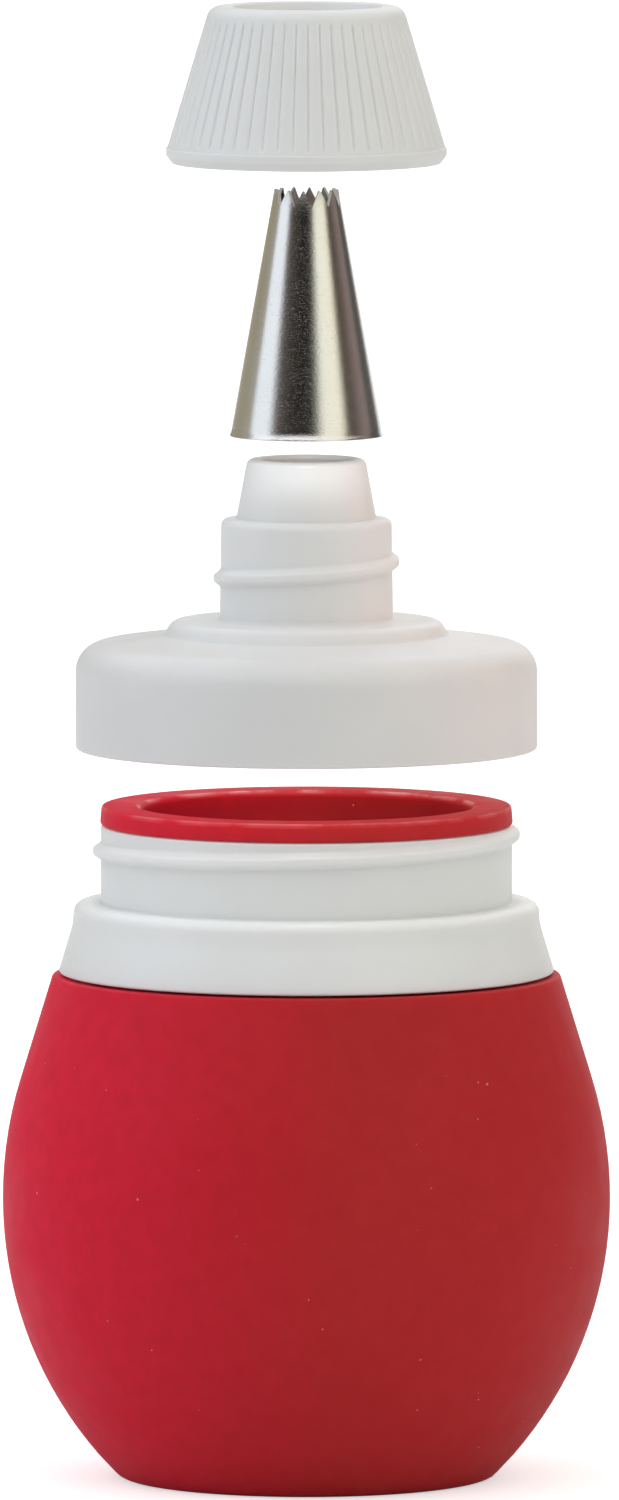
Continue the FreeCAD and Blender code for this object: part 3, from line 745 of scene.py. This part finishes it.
def studio_floor():
    """Pale round floor, seen a little brighter than it lights the object."""
    radius = 4.0
    sides = 96
    points = [(radius * math.cos(2 * math.pi * i / sides), radius * math.sin(2 * math.pi * i / sides), 0.0)
              for i in range(sides)]
    mesh = bpy.data.meshes.new("floor")
    mesh.from_pydata(points, [], [tuple(range(sides))])
    floor = bpy.data.objects.new("floor", mesh)
    bpy.context.scene.collection.objects.link(floor)
    m = Nodes("floor")
    seen = m.tree.nodes.new("ShaderNodeLightPath").outputs["Is Camera Ray"]
    m.link(m.maths("MULTIPLY", seen, 0.55), m.shader.inputs["Emission Strength"])
    m.set(Base_Color=(0.82, 0.82, 0.82, 1.0), Roughness=0.9, Emission_Color=(1.0, 1.0, 1.0, 1.0))
    m.shader.inputs["Specular IOR Level"].default_value = 0.0
    mesh.materials.append(m.material)


NARROWEST_BEAM = 2 * math.tan(math.radians(0.5))  # at one metre, because a Blender spot is 1 degree or more


def fill_light(name, piece, height, energy, elevation, azimuth=0.0, beam=None, colour=(1.0, 1.0, 1.0)):
    """Light for one piece alone, which the pieces that hang over it don't shade. It shines from one metre
    away at a height on the axis. With a beam, in metres across, it is a spot of that width, and otherwise a
    wide soft disc. Angles are in degrees, the azimuth from the front and positive to the right."""
    data = bpy.data.lights.new(name, "SPOT" if beam else "AREA")
    data.energy = energy
    data.color = colour
    if beam:
        data.shadow_soft_size = 0.002
        data.spot_size = 2 * math.atan(beam / 2)
        data.spot_blend = 0.15
    else:
        data.shape = "DISK"
        data.size = 0.6
    item = bpy.data.objects.new(name, data)
    up = math.radians(elevation)
    side = math.radians(azimuth)
    toward = Vector((math.sin(side) * math.cos(up), -math.cos(side) * math.cos(up), math.sin(up)))
    item.location = Vector((0.0, 0.0, height)) + toward
    item.rotation_mode = "QUATERNION"
    item.rotation_quaternion = (-toward).to_track_quat("-Z", "Y")
    bpy.context.scene.collection.objects.link(item)
    lit = bpy.data.collections.new(name)
    lit.objects.link(piece)
    item.light_linking.receiver_collection = lit
    item.light_linking.blocker_collection = lit


def camera():
    data = bpy.data.cameras.new("camera")
    data.sensor_width = 36.0
    data.lens = data.sensor_width * CAMERA_DISTANCE / VIEW_HEIGHT
    data.clip_start = 0.1
    data.clip_end = 20.0
    item = bpy.data.objects.new("camera", data)
    toward = Vector((0.0, -math.cos(CAMERA_ELEVATION), math.sin(CAMERA_ELEVATION)))
    item.location = AIM + toward * CAMERA_DISTANCE
    item.rotation_mode = "QUATERNION"
    item.rotation_quaternion = (-toward).to_track_quat("-Z", "Y")
    bpy.context.scene.collection.objects.link(item)
    bpy.context.scene.camera = item


# ---------------------------------------------------------------- assembly


def place(piece, node, body, slot, material):
    """The piece stands for a CAD node, rides on its body and takes its material."""
    piece.data.materials.append(material)
    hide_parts(node)
    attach(piece, body)


bpy.context.scene.view_settings.view_transform = "Standard"
world_light()
studio_floor()
camera()

bulb = squeeze_bulb()
collar = neck_collar()
lid = spout_lid(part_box("spout_lid")[0].z)
place(bulb, "squeeze_bulb", "bulb", "red_silicone", red_silicone())
place(collar, "neck_collar", "collar", "collar_plastic",
      white_plastic("collar_plastic", (0.81, 0.82, 0.81), (0.85, 0.855, 0.845), 0.11, 0.0015))
# the lid takes painted shade: its tone is darker below 0.1045 m, on the skirt and dome
place(lid, "spout_lid", "lid", "lid_plastic",
      white_plastic("lid_plastic", (0.82, 0.82, 0.815), (0.86, 0.855, 0.845), 0.47, 0.0007,
                    shaded_below=(0.1045, 0.1085)))
place(star_nozzle(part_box("star_nozzle")[0].z), "star_nozzle", "nozzle", "nozzle_steel", drawn_steel())
place(coupling_nut(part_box("coupling_nut")[0].z), "coupling_nut", "nut", "nut_plastic",
      white_plastic("nut_plastic", (0.80, 0.805, 0.80), (0.84, 0.84, 0.83), 0.83, 0.0006))

fill_light("flange_fill", bulb, height=0.0840, energy=23.0, elevation=72, beam=0.0525)
fill_light("mouth_fill", bulb, height=0.0840, energy=34.0, elevation=72, beam=0.0400)
fill_light("collar_fill", collar, height=0.0723, energy=6.0, elevation=88, beam=0.0620)
# The spout's mouth is narrower than the narrowest beam, which therefore lights the cone below it as well.
fill_light("spout_fill", lid, height=0.1278, energy=17.0, elevation=45, beam=NARROWEST_BEAM)
fill_light("lid_fill", lid, height=0.1000, energy=1.1, elevation=12, azimuth=98, colour=(1.0, 0.25, 0.15))
